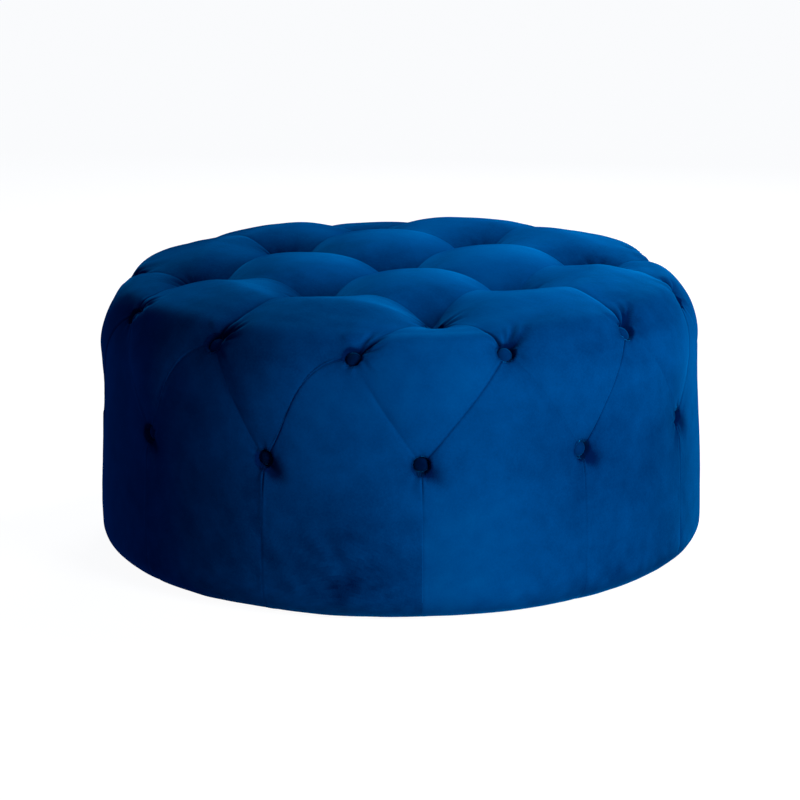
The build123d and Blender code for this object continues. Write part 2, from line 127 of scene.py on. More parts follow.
def smooth_noise(p, scale, seed):
    """Soft irregularity from a few plane waves, about -1 to 1."""
    g = np.random.default_rng(seed)
    out = np.zeros(len(p))
    for _ in range(9):
        v = g.normal(size=3)
        v /= np.linalg.norm(v)
        out += np.sin(p @ v * (2 * np.pi / (scale * g.uniform(0.7, 1.6))) + g.uniform(0, 6.28))
    return out / 4.0


# ------------------------------------------------------------------ buttons
def seat(az, r, z, tilt):
    a, t = math.radians(az), math.radians(tilt)
    n = np.array([math.cos(t) * math.sin(a), -math.cos(t) * math.cos(a), math.sin(t)])
    face = np.array([r * math.sin(a), -r * math.cos(a), z])
    return face - n * H_BTN, n


side_az = [A_SIDE + 30 * k + SIDE_TURN.get(k, 0.0) for k in range(12)]
side_seats = [seat(side_az[k], SIDE_R, SIDE_Z, 0.0) for k in range(12)]
rim_seats = [seat(A_RIM + 30 * k, RIM_R, RIM_ZB, RIM_TILT) for k in range(12)]
UPZ = np.array([0.0, 0.0, 1.0])
top_xy = [(TOP_XY * i, TOP_XY * j) for i in (-1, 0, 1) for j in (-1, 0, 1) if i or j]
top_seats = [(np.array([x, y, TOP_ZF - H_BTN]), UPZ) for x, y in top_xy]
lid_seats = [(np.array([0.0, 0.0, TOP_ZF - H_BTN]), UPZ)]
DEEP_SIDE = 15.5       # how far the cover is pulled in under each kind of button
DEEP_RIM = 15.0
SOCKET = 13.2          # radius of the close socket round a button
DIP_SIDE, DIP_RIM, DIP_TOP = 6.5, 6.0, 4.0   # the wide part of the dimple; the rest is a close socket (top: less the socket)


def deep_top(x, y):
    return float(H_TOP + crown(np.array(math.hypot(x, y))) - (TOP_ZF - H_BTN))


# ------------------------------------------------------------------ pleats
class Pleat:
    """A fold from one button to the next: its line on the plan map, how deep it lies and how sharp it is.
    crease: depth of the thin fold, width: its half width, lip: height of the rolled edge beside it."""

    def __init__(self, xy, depth, crease=0.0, width=2.0, lip=0.0):
        self.xy, self.depth, self.width = xy, depth, width
        self.crease, self.lip = crease + 0 * depth, lip + 0 * depth

    def back(self):
        return Pleat(self.xy[::-1], self.depth[::-1], self.crease[::-1], self.width, self.lip[::-1])

    def then(self, other):
        c = lambda a, b: np.concatenate([a, b[1:]])
        return Pleat(c(self.xy, other.xy), c(self.depth, other.depth), c(self.crease, other.crease), self.width, c(self.lip, other.lip))

    def with_lip(self, lip):
        return Pleat(self.xy, self.depth, self.crease, self.width, lip)


def line_lengths(p3):
    return np.concatenate([[0], np.cumsum(np.linalg.norm(np.diff(p3, axis=0), axis=1))])


def near0(dist, reach, power=1.2):
    return np.exp(-(np.maximum(dist, 0) / reach) ** power)


def side_pleat(azr, azl, bulge, mid, crease, n=NSEG):
    """Rim button to side button; bulge bows it up and outwards near the rim button."""
    t = spaced(n)
    w = 6.75 * t * (1 - t) ** 2 * bulge
    az = azr + (azl - azr) * t + np.sign(azl - azr) * np.degrees(w * 0.8 / 425.0)
    s = S_RIM + (S_SIDE - S_RIM) * t - w * 0.62
    xy = plan(az, s)
    ln = line_lengths(on_form(xy))
    d = mid + (DIP_RIM - mid) * near0(ln, 24.0) + (DIP_SIDE - mid) * near0(ln[-1] - ln, 18.0)
    e = near0(ln, 40.0) + near0(ln[-1] - ln, 40.0)
    return Pleat(xy, d, crease[0] * np.clip(0.55 + 0.6 * e, 0, 1), crease[1])


def top_pleat(azr, inner, seam, mid, crease, bow=0.0, n=NSEG):
    """Rim button over the rim to a top button and on to the seam."""
    a = plan(np.array([azr]), np.array([S_RIM]))[0]
    b, c = np.array(inner, float), np.array(seam, float)
    l1, l2 = np.linalg.norm(b - a), np.linalg.norm(c - b)
    stop = n - 8                                   # this point lies on the button
    t = np.concatenate([spaced(stop) * l1, l1 + l2 * np.arange(1, 9) / 8])
    end = seam_depth(np.array([np.abs(c).min()]), W_OPEN_TOP)[0]
    m = np.minimum(t / l1, 1)
    side = np.array([-(b - a)[1], (b - a)[0]]) / l1
    xy = np.where((t <= l1)[:, None], a + (b - a) * m[:, None] + side * (bow * np.sin(np.pi * m))[:, None],
                  b + (c - b) * (np.maximum(t - l1, 0) / l2)[:, None])
    deep = deep_top(*b) - DIP_TOP
    d = mid + (DIP_RIM + 3.5 - mid) * near0(t - 16.0, 34.0) * np.clip(t / 16.0, 0, 1) + (deep - mid) * near0(l1 - t, 0.14 * l1 + 20.0, 1.25)
    d = np.where(t > l1, deep + (end - deep) * np.clip((t - l1) / l2, 0, 1), d)
    d += (DIP_RIM - mid) * np.clip(1 - t / 16.0, 0, 1)
    fade = np.clip((l1 + l2 - t) / (1.5 * l2), 0, 1)
    out = Pleat(xy, d, (crease[0] * (0.4 + 0.6 * near0(t, 60.0)) + 3.0 * near0(t - 10.0, 20.0)) * fade, crease[1])
    out.stop = stop
    return out


def hem_pleat(azl, lean, mid, crease, n=NSEG):
    t = spaced(n)
    az = azl + np.degrees(lean * t * (1 - t) * 4 / 425.0)
    xy = plan(az, S_SIDE + (S5 - S_SIDE) * t)
    ln = line_lengths(on_form(xy))
    d = mid * (1 - near0(ln[-1] - ln, 40.0)) + (DIP_SIDE - mid) * near0(ln, 20.0)
    return Pleat(xy, d, crease[0] * (1 - near0(ln[-1] - ln, 30.0)), crease[1])


SEAM_MID = 4.2         # depth of the seam half-way between two buttons


def seam_depth_at_button(b):
    return deep_top(*b) - DIP_TOP - 1.0


def seam_depth(u, w):
    """u: mm along the seam from the middle of the side; buttons by the middle and the ends."""
    e0, e1 = np.abs(u), np.abs(w - np.abs(u))
    return SEAM_MID + (seam_depth_at_button((0, TOP_XY)) - SEAM_MID) * near0(e0, 50.0, 1.35) \
        + (seam_depth_at_button((TOP_XY, TOP_XY)) - SEAM_MID) * near0(e1, 50.0, 1.35)


def rotz(xy, deg):
    a = math.radians(deg)
    return np.stack([xy[:, 0] * math.cos(a) - xy[:, 1] * math.sin(a), xy[:, 0] * math.sin(a) + xy[:, 1] * math.cos(a)], 1)


def seam_line(q, half, n, w):
    """Seam on the side that faces azimuth 90 q. Half 0 runs from its middle to the corner at 90 q + 45,
    half 1 from the corner at 90 q - 45 to the middle."""
    t = spaced(n)
    u = t * w if half == 0 else -w + t * w
    room = np.exp(-((u + TAB_X) / 17.0) ** 4) if w == W_LID_TOP and q % 4 == 2 else 0.0   # for the pull tab
    return Pleat(rotz(np.stack([u, -w + room + 0 * u], 1), 90.0 * q), seam_depth(u, w))


# ------------------------------------------------------------------ pillow solver
def solve_pillow(p, free, bound, force):
    """Membrane over a grid of points p (rows x cols x 3): harmonic part through the bound values, and the part under pressure."""
    m, n = p.shape[:2]
    P = p.reshape(-1, 3)
    idx = np.arange(m * n).reshape(m, n)
    q = np.stack([idx[:-1, :-1], idx[:-1, 1:], idx[1:, 1:], idx[1:, :-1]], -1).reshape(-1, 4)
    odd = ((np.arange(len(q)) // (n - 1) + np.arange(len(q)) % (n - 1)) % 2).astype(bool)
    tri = np.concatenate([q[~odd][:, [0, 1, 2]], q[~odd][:, [0, 2, 3]], q[odd][:, [0, 1, 3]], q[odd][:, [1, 2, 3]]])
    ei, ej, ew = [], [], []
    area = np.zeros(m * n)
    for a, b, c in ((0, 1, 2), (1, 2, 0), (2, 0, 1)):
        e1, e2 = P[tri[:, b]] - P[tri[:, a]], P[tri[:, c]] - P[tri[:, a]]
        cr = np.linalg.norm(np.cross(e1, e2), axis=1) + 1e-9
        ei.append(tri[:, b]); ej.append(tri[:, c]); ew.append(np.clip(0.5 * (e1 * e2).sum(1) / cr, -2, 8))
        area += np.bincount(tri[:, a], cr / 6.0, m * n)
    ei, ej, ew = map(np.concatenate, (ei, ej, ew))
    N = m * n
    diag = np.bincount(ei, ew, N) + np.bincount(ej, ew, N)

    def mul(x):
        return diag * x - np.bincount(ei, ew * x[ej], N) - np.bincount(ej, ew * x[ei], N)

    def cg(b, x0):
        x = x0.copy()
        pre = np.where(free, 1.0 / np.maximum(diag, 1e-6), 0.0)
        r = np.where(free, b - mul(x), 0.0)
        z = pre * r
        d = z.copy()
        rz = (r * z).sum()
        end = rz * 1e-12 + 1e-20
        for _ in range(1500):
            if rz < end:
                break
            ad = np.where(free, mul(d), 0.0)
            al = rz / (d * ad).sum()
            x += al * d
            r -= al * ad
            z = pre * r
            new = (r * z).sum()
            d = z + (new / rz) * d
            rz = new
        return x

    harm = cg(np.zeros(N), np.where(free, bound[~free].mean(), bound))
    pres = cg(area * force, np.zeros(N))
    return harm, pres


def coons(bottom, top, left, right):
    """Grid of plan points between four edges; rows go from bottom to top, columns from left to right."""
    n, m = len(bottom) - 1, len(left) - 1
    lb, lt = line_lengths(bottom), line_lengths(top)
    ll, lr = line_lengths(left), line_lengths(right)
    u = 0.5 * (lb / lb[-1] + lt / lt[-1])[None, :, None]
    v = 0.5 * (ll / ll[-1] + lr / lr[-1])[:, None, None]
    B, T, L, R = bottom[None], top[None], left[:, None], right[:, None]
    return (1 - v) * B + v * T + (1 - u) * L + u * R - ((1 - u) * (1 - v) * bottom[0] + u * (1 - v) * bottom[-1]
                                                       + (1 - u) * v * top[0] + u * v * top[-1])


def nap_and_painted_shade(p):
    """How the pile lies, with painted shade: broad, soft changes round the piece; the side and the top are painted
    darker towards the left of the camera view and at the far right of the side, lighter where the key light falls, and
    each lower button has painted shade below and to its right.
    """
    a = np.degrees(np.arctan2(p[:, 0], -p[:, 1]))
    on_side = np.clip((345.0 - p[:, 2]) / 120.0, 0, 1)
    d = lambda c, w: np.exp(-((((a - c) + 180) % 360 - 180) / w) ** 2)
    low = np.clip((210.0 - p[:, 2]) / 150.0, 0, 1)
    left_of_fold = (((a - side_az[1] + 180) % 360 - 180) < 0)
    # painted shade: darker towards the left of the camera view, lighter where the key light falls, darker at the right
    # limb; the terms at the back vary the tone
    t = -0.1 * d(6, 34) - 0.1 * d(-60, 40) + 0.05 * d(52, 16) - 0.26 * d(100, 36) - 0.2 * d(215, 30) + 0.12 * d(255, 25)
    t = t - 0.08 * d(-6, 20) * np.clip((p[:, 2] - 215.0) / 60.0, 0, 1)
    t = t + 0.1 * np.clip((205.0 - p[:, 2]) / 50.0, 0, 1) * ~left_of_fold * d(side_az[1] + 4, 9)
    t = t - 0.15 * np.clip((235.0 - p[:, 2]) / 70.0, 0, 1) * d(2, 9) + 0.12 * np.clip((80.0 - p[:, 2]) / 45.0, 0, 1) * d(21, 15)
    for k in range(12):   # painted shade below and to the right of each lower button
        dx = 424.0 * np.radians((a - side_az[k] + 180) % 360 - 180)
        t = t - (0.42 if k == 0 else 0.2) * np.exp(-((dx - 15.0) / 15.0) ** 2 - ((p[:, 2] - SIDE_Z + 11.0) / 15.0) ** 2)
    hem = np.clip((95.0 - p[:, 2]) / 70.0, 0, 1) * on_side
    across = p[:, 0] * math.cos(CAM_AZ) + p[:, 1] * math.sin(CAM_AZ)
    far = np.hypot(p[:, 0], p[:, 1])
    on_top = np.clip((p[:, 2] - 300.0) / 60.0, 0, 1)
    rim = np.clip((far - 330.0) / 40.0, 0, 1) * on_top
    # painted shade on the top: darker towards the left of the camera view, on the rim and at the far right
    top = -0.27 * np.clip((10.0 - across) / 250.0, 0, 1) - 0.14 * rim * np.clip((across + 60) / 200.0, 0, 1) - 0.12 * np.clip((across - 200) / 120.0, 0, 1)
    return on_side * (t - 0.34 * low * left_of_fold * d(28, 18)) + on_top * top + 0.07 * smooth_noise(p, 170.0, 44) \
        + hem * (0.06 * smooth_noise(p, 46.0, 45) + 0.05 * smooth_noise(p, 17.0, 46)) \
        + np.clip((165.0 - p[:, 2]) / 60.0, 0, 1) * d(20, 21) * (0.085 * smooth_noise(p, 40.0, 47) + 0.045 * smooth_noise(p * [1, 1, 3.0], 30.0, 48))


class Skin:
    def __init__(self):
        self.v, self.f, self.tone, self.n = [], [], [], 0

    def grid(self, P, tone, flip=False):
        m, n = P.shape[:2]
        idx = np.arange(m * n).reshape(m, n) + self.n
        q = np.stack([idx[:-1, :-1], idx[:-1, 1:], idx[1:, 1:], idx[1:, :-1]], -1).reshape(-1, 4)
        if flip:
            q = q[:, ::-1]
        self.v.append(P.reshape(-1, 3)); self.f.append(q); self.n += m * n
        self.tone.append(np.zeros(len(q)) + tone)

    def mesh(self, name, extra=None, join=0.00005):
        v = np.concatenate(self.v) * MM
        f = np.concatenate(self.f)
        me = bpy.data.meshes.new(name)
        me.from_pydata(v.tolist(), [], f.tolist())
        bm = bmesh.new()
        bm.from_mesh(me)
        bm.faces.ensure_lookup_table()
        lay = bm.faces.layers.float.new("tone")
        mid = v[f].mean(1)
        # each face adds the broad tone and the painted shade round the piece to its own tone
        for fc, t, dt in zip(bm.faces, np.concatenate(self.tone), nap_and_painted_shade(mid / MM)):
            fc[lay] = float(t + dt)
        bmesh.ops.remove_doubles(bm, verts=bm.verts, dist=join)
        bmesh.ops.dissolve_degenerate(bm, dist=1e-6, edges=bm.edges)
        if extra:
            extra(bm)
        bmesh.ops.recalc_face_normals(bm, faces=bm.faces)
        for e in bm.edges:
            e.smooth = e.calc_face_angle(0.0) < 0.95       # the sewn edges of the opening and of the lid stay crisp
        bm.to_mesh(me)
        bm.free()
        for p in me.polygons:
            p.use_smooth = True
        ob = bpy.data.objects.new(name, me)
        scene.collection.objects.link(ob)
        return ob


ALL_SEATS = ([(c, n, DEEP_SIDE) for c, n in side_seats] + [(c, n, DEEP_RIM) for c, n in rim_seats]
             + [(c, n, deep_top(c[0], c[1])) for c, n in top_seats + lid_seats])
SEAT_ON = [c + n * dp for c, n, dp in ALL_SEATS]
GATHER = [(int(rng.integers(6, 9)), rng.uniform(0, 6.28), rng.uniform(0.6, 1.2)) for _ in ALL_SEATS]


def gathers(kind, k):
    """Short gathers that run out from a button: angle from the tangent towards the top, start, length, depth, width."""
    j = lambda a: float(rng.uniform(-a, a))
    if kind == "side":
        return [(-42 + j(6), 8, 48, 4.6, 9.0), (-70 + j(6), 8, 36, 1.6, 2.6), (-112 + j(8), 8, 34, 1.3, 2.8), (28 + j(8), 8, 24, 1.2, 2.6),
                (152 + j(8), 8, 26, 1.2, 2.6)]
    if kind == "rim":
        return [(46 + j(3), 4, 56, 7.0, 12.0), (22 + j(3), 6, 48, 7.0, 2.9), (41 + j(3), 6, 58, 9.5, 3.0), (59 + j(3), 6, 54, 7.5, 2.9), (80 + j(3), 6, 40, 3.0, 2.6),
                (0 + j(5), 6, 30, 2.4, 2.6), (118 + j(8), 6, 28, 1.8, 2.8), (-12 + j(6), 6, 24, 1.4, 2.8), (192 + j(6), 6, 26, 1.6, 2.8)]
    return [(a + j(10), 6, 46, 2.6, 3.6) for a in (20, 65, 110, 155, 200, 245, 290, 335)]


STREAKS = [gathers("side", k) for k in range(12)] + [gathers("rim", k) for k in range(12)] + [gathers("top", k) for k in range(9)]


def pillow(edges, target, power):
    """edges: bottom, top, left and right pleat. Returns the finished grid in mm and the painted crease shade of each
    face.
    """
    xy = coons(*[e.xy for e in edges])
    m, n = xy.shape[:2]
    flat = xy.reshape(-1, 2)
    base = on_form(flat)
    bound = np.zeros((m, n))
    fixed = np.zeros((m, n), bool)
    bound[0], bound[-1], bound[:, 0], bound[:, -1] = [-e.depth for e in edges]
    fixed[0] = fixed[-1] = True
    fixed[:, 0] = fixed[:, -1] = True
    bound, fixed = bound.ravel(), fixed.ravel()
    wr = np.zeros(m * n)
    sockets = []
    for (c, nn, dp), on, (kk, ph, am), streaks in zip(ALL_SEATS, SEAT_ON, GATHER, STREAKS):
        dv = base - on
        dist = np.linalg.norm(dv, axis=1)
        if dist.min() > 90:
            continue
        sockets.append((dp, dist))
        out = np.array([c[0], c[1], 0.0])
        out = out / np.linalg.norm(out) if np.linalg.norm(out) > 1 else np.array([0.0, -1.0, 0.0])
        e1 = np.cross(UPZ, out)
        e2 = np.cross(nn, e1)
        u, v = dv @ e1, dv @ e2
        wr += 0.7 * am * np.cos(kk * np.arctan2(v, u) + ph) * np.exp(-((dist - 13) / 11.0) ** 2) * (dist > 8)
        for ang, beg, ln, dep, wid in streaks:
            ca, sa = math.cos(math.radians(ang)), math.sin(math.radians(ang))
            al, ac = u * ca + v * sa, -u * sa + v * ca
            run = np.clip((al - beg) / 6.0, 0, 1) * np.clip(1 - al / ln, 0, 1)
            w = wid * (0.75 + 0.6 * np.clip(al / ln, 0, 1))
            wr += dep * run * (np.exp(-(ac / w) ** 2) - 0.45 * np.exp(-((ac - 2.2 * w) / (1.3 * w)) ** 2) - 0.45 * np.exp(-((ac + 2.2 * w) / (1.3 * w)) ** 2))
    harm, pres = solve_pillow(base.reshape(m, n, 3), ~fixed, bound, 1.0)
    x = np.clip(pres / pres.max(), 0, 1)
    g = 1 - (1 - x) ** power
    top = np.argmax(x)
    d = harm + (target - harm[top]) * g
    dist = [q.ravel() for q in edge_distance(base.reshape(m, n, 3))]
    nearest = np.minimum.reduce(dist)
    inside = 1 - np.exp(-(nearest / 6.0) ** 2)
    d += inside * (0.8 * smooth_noise(base, 120.0, 11) + 0.25 * smooth_noise(base, 42.0, 12))
    wr *= 1 - np.exp(-(nearest / 2.0) ** 2)
    d -= wr
    # painted shade: faces are darkened in the gathers and along the creases
    painted_crease_shade = 0.075 * np.maximum(wr, 0)
    for e, q, across in zip(edges, dist, (1, 1, 0, 0)):
        amp, lip = [(a[None, :] if across else a[:, None]) + np.zeros((m, n)) for a in (e.crease, e.lip)]
        d -= amp.ravel() * np.exp(-(q / e.width) ** 1.4)
        d += lip.ravel() * np.exp(-((q - 4.2) / 3.0) ** 2) * (1 - np.exp(-(nearest / 1.5) ** 2))
        painted_crease_shade += 0.17 * np.minimum(amp.ravel(), 1.6) * np.exp(-(q / (1.25 * e.width)) ** 2)
    # neighbouring panels meet exactly on the fold
    d = d.reshape(m, n)
    d[0], d[-1], d[:, 0], d[:, -1] = [-e.depth - e.crease for e in edges]
    d = d.ravel()
    for dp, q in sockets:
        t = np.clip((SOCKET - q) / (SOCKET - 10.6), 0, 1)
        t = t * t * (3 - 2 * t)
        d = d * (1 - t) - dp * t
        # painted shade: a dark ring round each socket, a soft dark patch round each button and a wide one round the
        # deep top dimples
        painted_crease_shade += 0.35 * np.exp(-((q - 12.4) / 2.6) ** 2) + 0.1 * np.exp(-(q / 24.0) ** 2) + (0.24 * np.exp(-(q / 52.0) ** 2) if dp > 18 else 0.0)
    painted_crease_shade = painted_crease_shade.reshape(m, n)
    painted_crease_shade = 0.25 * (painted_crease_shade[1:, 1:] + painted_crease_shade[:-1, 1:] + painted_crease_shade[1:, :-1] + painted_crease_shade[:-1, :-1])
    return on_form(flat, d).reshape(m, n, 3), np.minimum(painted_crease_shade, 0.5).ravel()


def edge_distance(p):
    """Distance of each grid point from the bottom, top, left and right edge, along the grid lines."""
    dv = np.linalg.norm(np.diff(p, axis=0), axis=2)
    du = np.linalg.norm(np.diff(p, axis=1), axis=2)
    cv = np.concatenate([np.zeros((1, p.shape[1])), np.cumsum(dv, 0)])
    cu = np.concatenate([np.zeros((p.shape[0], 1)), np.cumsum(du, 1)], 1)
    return cv, cv[-1:] - cv, cu, cu[:, -1:] - cu


# the folds of the cover
down_left, down_right, to_top, to_hem = {}, {}, {}, {}
SOFT_FOLD = {0: 0.4, 11: 0.6, 7: 0.7, 9: 0.8}    # some folds are pulled less tight than the rest
for k in range(12):
    azr = A_RIM + 30 * k
    az_left = side_az[k - 1] - (360.0 if k == 0 else 0.0)
    bl = {1: 27.0, 0: 20.0, 2: 0.0, 3: 4.0, 11: 14.0}.get(k, float(rng.uniform(0, 18)))
    f = SOFT_FOLD.get(k, 1.0)
    down_left[k] = side_pleat(azr, az_left, bl, 0.4 + 1.6 * f, (1.5 * f, 1.8))
    down_right[k] = side_pleat(azr, side_az[k], float(rng.uniform(-3, 5)), 0.35, (0.12, 1.8))
    quarter, part = divmod(k, 3)
    x, w = (0.0, 0.0) if part == 0 else (TOP_XY, W_OPEN_TOP)
    inner = rotz(np.array([[x, -TOP_XY]]), 90 * quarter)[0]
    seamp = rotz(np.array([[w, -W_OPEN_TOP]]), 90 * quarter)[0]
    to_top[k] = top_pleat(azr, inner, seamp, 2.6, (0.5, 2.6), float(rng.uniform(-9, 9)))
    to_hem[k] = hem_pleat(side_az[k], float(rng.uniform(-4, 4)), 0.5, (0.3, 1.8))

# each pillow's tone varies a little at random, less the painted crease shade that pillow() returns
base = Skin()
for k in range(12):
    kr = (k + 1) % 12
    quarter, part = divmod(k, 3)
    # rim pillow k lies between rim buttons k and k + 1, over side button k
    if part == 1:
        P, painted_crease_shade = pillow([down_right[k].back().with_lip(0.05), to_top[kr], down_left[kr].back().with_lip(0.8 * SOFT_FOLD.get(kr, 1.0)), to_top[k]], 2.5, 1.35)
        P[to_top[k].stop:, to_top[kr].stop:] = P[to_top[k].stop, -1]     # both folds end on the corner button
        base.grid(P, 0.5 + 0.05 * float(rng.uniform(-1, 1)) - painted_crease_shade, flip=True)
    else:
        half, q = (0, quarter) if part == 0 else (1, quarter + 1)
        seam = seam_line(q, half, 2 * NSEG, W_OPEN_TOP)
        bottom = down_right[k].with_lip(0.05).then(down_left[kr].back().with_lip(0.8 * SOFT_FOLD.get(kr, 1.0)))
        P, painted_crease_shade = pillow([bottom, seam, to_top[k], to_top[kr]], 2.5, 1.35)
        base.grid(P, 0.5 + 0.05 * float(rng.uniform(-1, 1)) - painted_crease_shade)
    # side panel between side buttons k and k + 1, under rim button k + 1
    a0, a1 = side_az[k], side_az[kr] + (360.0 if k == 11 else 0.0)
    half_step = spaced(NSEG)
    az = np.concatenate([a0 + (a1 - a0) / 2 * half_step, ((a0 + a1) / 2 + (a1 - a0) / 2 * half_step)[1:]])
    b_edge = Pleat(plan(az, np.full(len(az), S5)), np.zeros(len(az)))
    P, painted_crease_shade = pillow([b_edge, down_left[kr].back().then(down_right[kr]), to_hem[k].back().with_lip(0.06), to_hem[kr].back()], 0.2, 1.7)
    base.grid(P, 0.5 + 0.05 * float(rng.uniform(-1, 1)) - painted_crease_shade)
    # hem turned under
    rows = [plan(az, np.full(len(az), s)) for s in np.linspace(S6, S5, 7)]
    base.grid(np.stack([on_form(r) for r in rows]), 0.4)
    # inside faces round the frame
    ca, sa = np.sin(np.radians(az)), -np.cos(np.radians(az))
    ring = [(R_HEM_IN, Z_HEM), (R_HEM_IN, Z_BASE - 0.2), (R_FRAME_OUT + 0.3, Z_BASE - 0.2), (R_FRAME_OUT + 0.3, 80.0),
            (R_FRAME_OUT + 0.3, 190.0), (R_FRAME_OUT + 0.3, Z_DECK_TOP + 0.2)]
    base.grid(np.stack([np.stack([r * ca, r * sa, np.full_like(ca, z)], 1) for r, z in ring]), 0.4, flip=True)

# walls of the opening, flange on the deck
for q in range(4):
    for half in (0, 1):
        sm = seam_line(q, half, 2 * NSEG, W_OPEN_TOP)
        topz = on_form(sm.xy, -sm.depth)
        rows = [topz]
        for f in (0.006, 0.02, 0.06, 0.14, 0.3, 0.55, 0.8, 1.0):
            w = topz.copy()
            w[:, :2] *= 1 + (W_OPEN / W_OPEN_TOP - 1) * min(1.0, f / 0.14)
            w[:, 2] = topz[:, 2] + (Z_DECK_TOP + 1.8 - topz[:, 2]) * f
            rows.append(w)
        fl = rows[-1].copy(); fl[:, :2] *= W_FLANGE / W_OPEN
        lowf = fl.copy(); lowf[:, 2] = Z_DECK_TOP + 0.2
        base.grid(np.stack(rows + [fl, lowf]), 0.42)


def close_under_deck(bm):
    z = (Z_DECK_TOP + 0.2) * MM
    es = [e for e in bm.edges if e.is_boundary and all(abs(v.co.z - z) < 1e-5 for v in e.verts)]
    bmesh.ops.triangle_fill(bm, use_beauty=True, edges=es, normal=(0, 0, -1))


base_upholstery = base.mesh("base_upholstery", close_under_deck)

# ------------------------------------------------------------------ lid
lid = Skin()


def lid_cross(q):
    """Fold from the middle button to the middle of side q of the lid."""
    t = spaced(NSEG)
    xy = rotz(np.stack([0 * t, -W_LID_TOP * t], 1), 90 * q)
    L = W_LID_TOP * t
    d0, d1 = deep_top(0.0, 0.0) - DIP_TOP, seam_depth(np.zeros(1), W_LID_TOP)[0]
    d = 3.4 + (d0 - 3.4) * near0(L, 58.0, 1.35) + (d1 - 3.4) * near0(W_LID_TOP - L, 54.0, 1.35)
    d += (d0 - d[0]) * (1 - t) ** 4 + (d1 - d[-1]) * t ** 4
    return Pleat(xy, d, 0.15 * np.clip((W_LID_TOP - L) / 25.0, 0, 1), 2.6)


# the lid's pillows also take their painted crease shade off their tone
for q in range(4):
    s1 = seam_line(q, 0, NSEG, W_LID_TOP)          # middle of side q to the corner
    s2 = seam_line(q + 1, 1, NSEG, W_LID_TOP)      # corner to the middle of side q + 1
    P, painted_crease_shade = pillow([lid_cross(q), s2.back(), lid_cross((q + 1) % 4), s1], 2.5, 1.2)
    lid.grid(P, 0.5 + 0.05 * float(rng.uniform(-1, 1)) - painted_crease_shade, flip=True)
for q in range(4):
    for half in (0, 1):
        sm = seam_line(q, half, NSEG, W_LID_TOP)
        topz = on_form(sm.xy, -sm.depth)
        rows = [topz]
        for f in (0.006, 0.02, 0.06, 0.14, 0.3, 0.55, 0.8, 1.0):
            w = topz.copy()
            w[:, :2] *= 1 + (W_LID / W_LID_TOP - 1) * min(1.0, f / 0.14)
            w[:, 2] = topz[:, 2] + (Z_LID - topz[:, 2]) * f
            rows.append(w)
        for wd, z in ((W_LHEM, Z_LID), (W_LHEM, Z_LBOARD - 0.2), (W_LBOARD + 0.3, Z_LBOARD - 0.2), (W_LBOARD + 0.3, Z_LBOARD + T_LBOARD + 0.2)):
            c = rows[0].copy(); c[:, :2] *= wd / W_LID_TOP; c[:, 2] = z
            rows.append(c)
        lid.grid(np.stack(rows), 0.45, flip=True)


def close_over_board(bm):
    z = (Z_LBOARD + T_LBOARD + 0.2) * MM
    es = [e for e in bm.edges if e.is_boundary and all(abs(v.co.z - z) < 1e-5 for v in e.verts)]
    bmesh.ops.triangle_fill(bm, use_beauty=True, edges=es, normal=(0, 0, 1))


lid_upholstery = lid.mesh("lid_upholstery", close_over_board, 0.0002)


# ------------------------------------------------------------------ covered buttons
def button_mesh(name, seats, seed, tones={}):
    g = np.random.default_rng(seed)
    prof = [(0.0, 8.0), (2.0, 7.9), (4.2, 7.55), (6.4, 6.9), (8.2, 6.0), (9.6, 4.9), (10.5, 3.7), (10.95, 2.4), (10.7, 1.2), (9.8, 0.35), (8.6, 0.0), (0.0, 0.0)]
    na = 40
    verts, faces = [], []
    for c, n in seats:
        q = Vector((0, 0, 1)).rotation_difference(Vector(n))
        off = len(verts)
        ph = g.uniform(0, 6.28)
        for r, z in prof:
            for a in range(na):
                t = 2 * math.pi * a / na
                edge = max(0.0, 1 - abs(z - 2.0) / 2.6) if r > 7 else 0.0
                rr = r + 0.22 * edge * math.cos(10 * t + ph) * (1 if r < 10.9 else 0.6)
                p = q @ Vector((rr * math.cos(t), rr * math.sin(t), z)) + Vector(c)
                verts.append(p * MM)
        for i in range(len(prof) - 1):
            for a in range(na):
                b = (a + 1) % na
                faces.append((off + i * na + a, off + i * na + b, off + (i + 1) * na + b, off + (i + 1) * na + a))
    me = bpy.data.meshes.new(name)
    me.from_pydata(verts, [], faces)
    bm = bmesh.new(); bm.from_mesh(me)
    lay = bm.faces.layers.float.new("tone")               # the pile lies a little differently on each button; the listed buttons get tones that paint their shade
    own = [tones.get(k, 0.5 + 0.12 * math.sin(7.3 * k + len(seats))) for k in range(len(seats))]
    for k, fc in enumerate(bm.faces):
        fc[lay] = own[k // ((len(prof) - 1) * na)]
    bmesh.ops.remove_doubles(bm, verts=bm.verts, dist=1e-6)
    bmesh.ops.recalc_face_normals(bm, faces=bm.faces)
    bm.to_mesh(me); bm.free()
    for p in me.polygons:
        p.use_smooth = True
    ob = bpy.data.objects.new(name, me)
    scene.collection.objects.link(ob)
    return ob


# painted shade: the listed front buttons are given their own darker or lighter tones
btn_side = button_mesh("side_button_covers", side_seats, 1, {0: 0.15, 1: 0.0, 2: 0.62, 3: 0.35, 11: 0.5})
btn_rim = button_mesh("rim_button_covers", rim_seats, 2, {0: 0.7, 1: 0.1, 2: 0.62, 3: 0.5, 11: 0.4})
btn_top = button_mesh("top_button_covers", top_seats, 3)
btn_lid = button_mesh("lid_button_cover", lid_seats, 4)


# ------------------------------------------------------------------ materials
def srgb(r, g, b):
    def f(c):
        c /= 255.0
        return c / 12.92 if c <= 0.04045 else ((c + 0.055) / 1.055) ** 2.4
    return (f(r), f(g), f(b), 1.0)


def new_mat(name):
    m = bpy.data.materials.new(name)
    m.use_nodes = True
    nt = m.node_tree
    bsdf = nt.nodes["Principled BSDF"]
    return m, nt, bsdf


def node(nt, kind, **kw):
    n = nt.nodes.new(kind)
    for k, v in kw.items():
        if k in n.inputs:
            n.inputs[k].default_value = v
        else:
            setattr(n, k, v)
    return n


